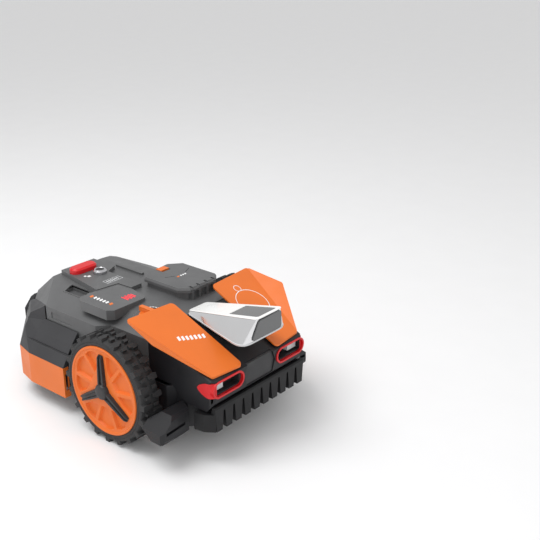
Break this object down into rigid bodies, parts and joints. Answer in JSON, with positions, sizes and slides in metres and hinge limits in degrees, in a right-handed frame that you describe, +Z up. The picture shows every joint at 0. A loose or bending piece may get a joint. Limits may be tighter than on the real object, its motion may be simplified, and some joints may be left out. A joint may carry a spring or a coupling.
{
  "type": "robotic lawn mower",
  "caption": "Robotic lawn mower with raised vision head, knobbly driven wheels, swivel casters, an offset cutting disc with swinging blades, a stop button and a hinged battery lid.",
  "frame": {"origin": "on the ground, under the middle of the machine's bounding box", "axes": "+Z up; the front (vision head, headlights and comb) looks along -Y; the machine's right-hand side is -X"},
  "size_m": [0.482, 0.7, 0.306],
  "materials": {
    "black_plastic": "fine moulded grain",
    "grey_plastic": "fine moulded grain",
    "orange_plastic": "satin",
    "red_plastic": "satin",
    "white_plastic": "satin",
    "silver_plastic": "satin metallised",
    "select_metal": "turned",
    "dark_window": "polished",
    "lens_block": "polished",
    "tyre_rubber": "matt rubber",
    "caster_rubber": "matt rubber",
    "steel": "brushed",
    "motor_metal": "satin",
    "carriage_plastic": "moulded",
    "battery_case": "moulded",
    "board": "solder resist"
  },
  "bodies": {
    "chassis": {"nose_shell": "black_plastic", "nose_panel": "black_plastic", "comb": "black_plastic", "skid_right": "black_plastic", "skid_left": "black_plastic", "rear_bumper": "black_plastic", "chassis_tub": "black_plastic", "light_reflector_right": "black_plastic", "light_reflector_left": "black_plastic", "deck_cover": "grey_plastic", "edge_pod": "grey_plastic", "left_side_cover": "grey_plastic", "console": "grey_plastic", "display_tile": "grey_plastic", "fender_right": "orange_plastic", "fender_left": "orange_plastic", "edge_skirt": "orange_plastic", "light_bezel_right": "red_plastic", "light_bezel_left": "red_plastic", "head_frame": "white_plastic", "status_led": "white_plastic", "head_shell": "silver_plastic", "head_top_window": "dark_window", "head_front_window": "dark_window", "display_window": "dark_window", "camera_modules": "lens_block", "light_emitters": "lens_block", "guide_posts": "steel", "housing_screws": "steel", "lid_hinge_pins": "steel", "charging_contacts": "steel", "gearmotor_right": "motor_metal", "gearmotor_left": "motor_metal", "battery_pack": "battery_case", "controller_board": "board"},
    "wheel_right": {"tyre_right": "tyre_rubber", "rim_right": "orange_plastic", "spoke_cap_right": "black_plastic", "axle_right": "steel"},
    "wheel_left": {"tyre_left": "tyre_rubber", "rim_left": "orange_plastic", "spoke_cap_left": "black_plastic", "axle_left": "steel"},
    "caster_swivel_right": {"caster_fork_right": "black_plastic"},
    "caster_roller_right": {"caster_wheel_right": "caster_rubber"},
    "caster_swivel_left": {"caster_fork_left": "black_plastic"},
    "caster_roller_left": {"caster_wheel_left": "caster_rubber"},
    "cutting_lift": {"height_carriage": "carriage_plastic", "cutting_motor": "motor_metal"},
    "cutting_disc_body": {"cutting_disc": "steel", "blade_screws": "steel"},
    "blade_1_body": {"blade_1": "steel"},
    "blade_2_body": {"blade_2": "steel"},
    "blade_3_body": {"blade_3": "steel"},
    "stop_button_body": {"stop_button": "red_plastic"},
    "select_ring_body": {"select_ring": "select_metal"},
    "select_button_body": {"select_button": "black_plastic"},
    "height_lever_body": {"height_lever": "orange_plastic"},
    "battery_lid_body": {"battery_lid": "grey_plastic"},
    "lid_latch_body": {"lid_latch": "orange_plastic"}
  },
  "joints": [
    {"name": "wheel_right_spin", "type": "hinge", "parent": "chassis", "child": "wheel_right", "pos_m": [-0.205, -0.078, 0.125], "axis": [1, 0, 0], "continuous": true},
    {"name": "wheel_left_spin", "type": "hinge", "parent": "chassis", "child": "wheel_left", "pos_m": [0.205, -0.078, 0.125], "axis": [1, 0, 0], "continuous": true},
    {"name": "caster_right_swivel", "type": "hinge", "parent": "chassis", "child": "caster_swivel_right", "pos_m": [-0.1, 0.284, 0.06], "axis": [0, 0, 1], "continuous": true},
    {"name": "caster_right_roll", "type": "hinge", "parent": "caster_swivel_right", "child": "caster_roller_right", "pos_m": [-0.1, 0.3, 0.028], "axis": [1, 0, 0], "continuous": true},
    {"name": "caster_left_swivel", "type": "hinge", "parent": "chassis", "child": "caster_swivel_left", "pos_m": [0.1, 0.284, 0.06], "axis": [0, 0, 1], "continuous": true},
    {"name": "caster_left_roll", "type": "hinge", "parent": "caster_swivel_left", "child": "caster_roller_left", "pos_m": [0.1, 0.3, 0.028], "axis": [1, 0, 0], "continuous": true},
    {"name": "cutting_height", "type": "slide", "parent": "chassis", "child": "cutting_lift", "axis": [0, 0, 1], "range_m": [0, 0.03]},
    {"name": "height_lever_turn", "type": "hinge", "parent": "chassis", "child": "height_lever_body", "pos_m": [-0.096, -0.092, 0.262], "axis": [0, 0, 1], "range_deg": [0, 120]},
    {"name": "disc_spin", "type": "hinge", "parent": "cutting_lift", "child": "cutting_disc_body", "pos_m": [-0.092, 0.14, 0.04], "axis": [0, 0, 1], "continuous": true},
    {"name": "blade_1_swing", "type": "hinge", "parent": "cutting_disc_body", "child": "blade_1_body", "pos_m": [-0.092, 0.208, 0.035], "axis": [0, 0, 1], "range_deg": [-90, 90]},
    {"name": "blade_2_swing", "type": "hinge", "parent": "cutting_disc_body", "child": "blade_2_body", "pos_m": [-0.15089, 0.106, 0.035], "axis": [0, 0, 1], "range_deg": [-90, 90]},
    {"name": "blade_3_swing", "type": "hinge", "parent": "cutting_disc_body", "child": "blade_3_body", "pos_m": [-0.03311, 0.106, 0.035], "axis": [0, 0, 1], "range_deg": [-90, 90]},
    {"name": "stop_press", "type": "slide", "parent": "chassis", "child": "stop_button_body", "axis": [0, 0, -1], "range_m": [0, 0.004], "stiffness_N_per_m": 900, "springref_m": -0.002},
    {"name": "select_turn", "type": "hinge", "parent": "chassis", "child": "select_ring_body", "pos_m": [-0.024, 0.158, 0.275], "axis": [0, 0, 1], "continuous": true},
    {"name": "select_press", "type": "slide", "parent": "chassis", "child": "select_button_body", "axis": [0, 0, -1], "range_m": [0, 0.0015], "stiffness_N_per_m": 500, "springref_m": -0.001},
    {"name": "battery_lid_open", "type": "hinge", "parent": "chassis", "child": "battery_lid_body", "pos_m": [0.062, -0.097, 0.279], "axis": [1, 0, 0], "range_deg": [0, 75]},
    {"name": "lid_latch_slide", "type": "slide", "parent": "battery_lid_body", "child": "lid_latch_body", "axis": [0, -1, 0], "range_m": [0, 0.005], "stiffness_N_per_m": 400, "springref_m": -0.002}
  ],
  "couplings": [
    {"joint": "height_lever_turn", "follows": "cutting_height", "rad_per_m": 69.8}
  ]
}
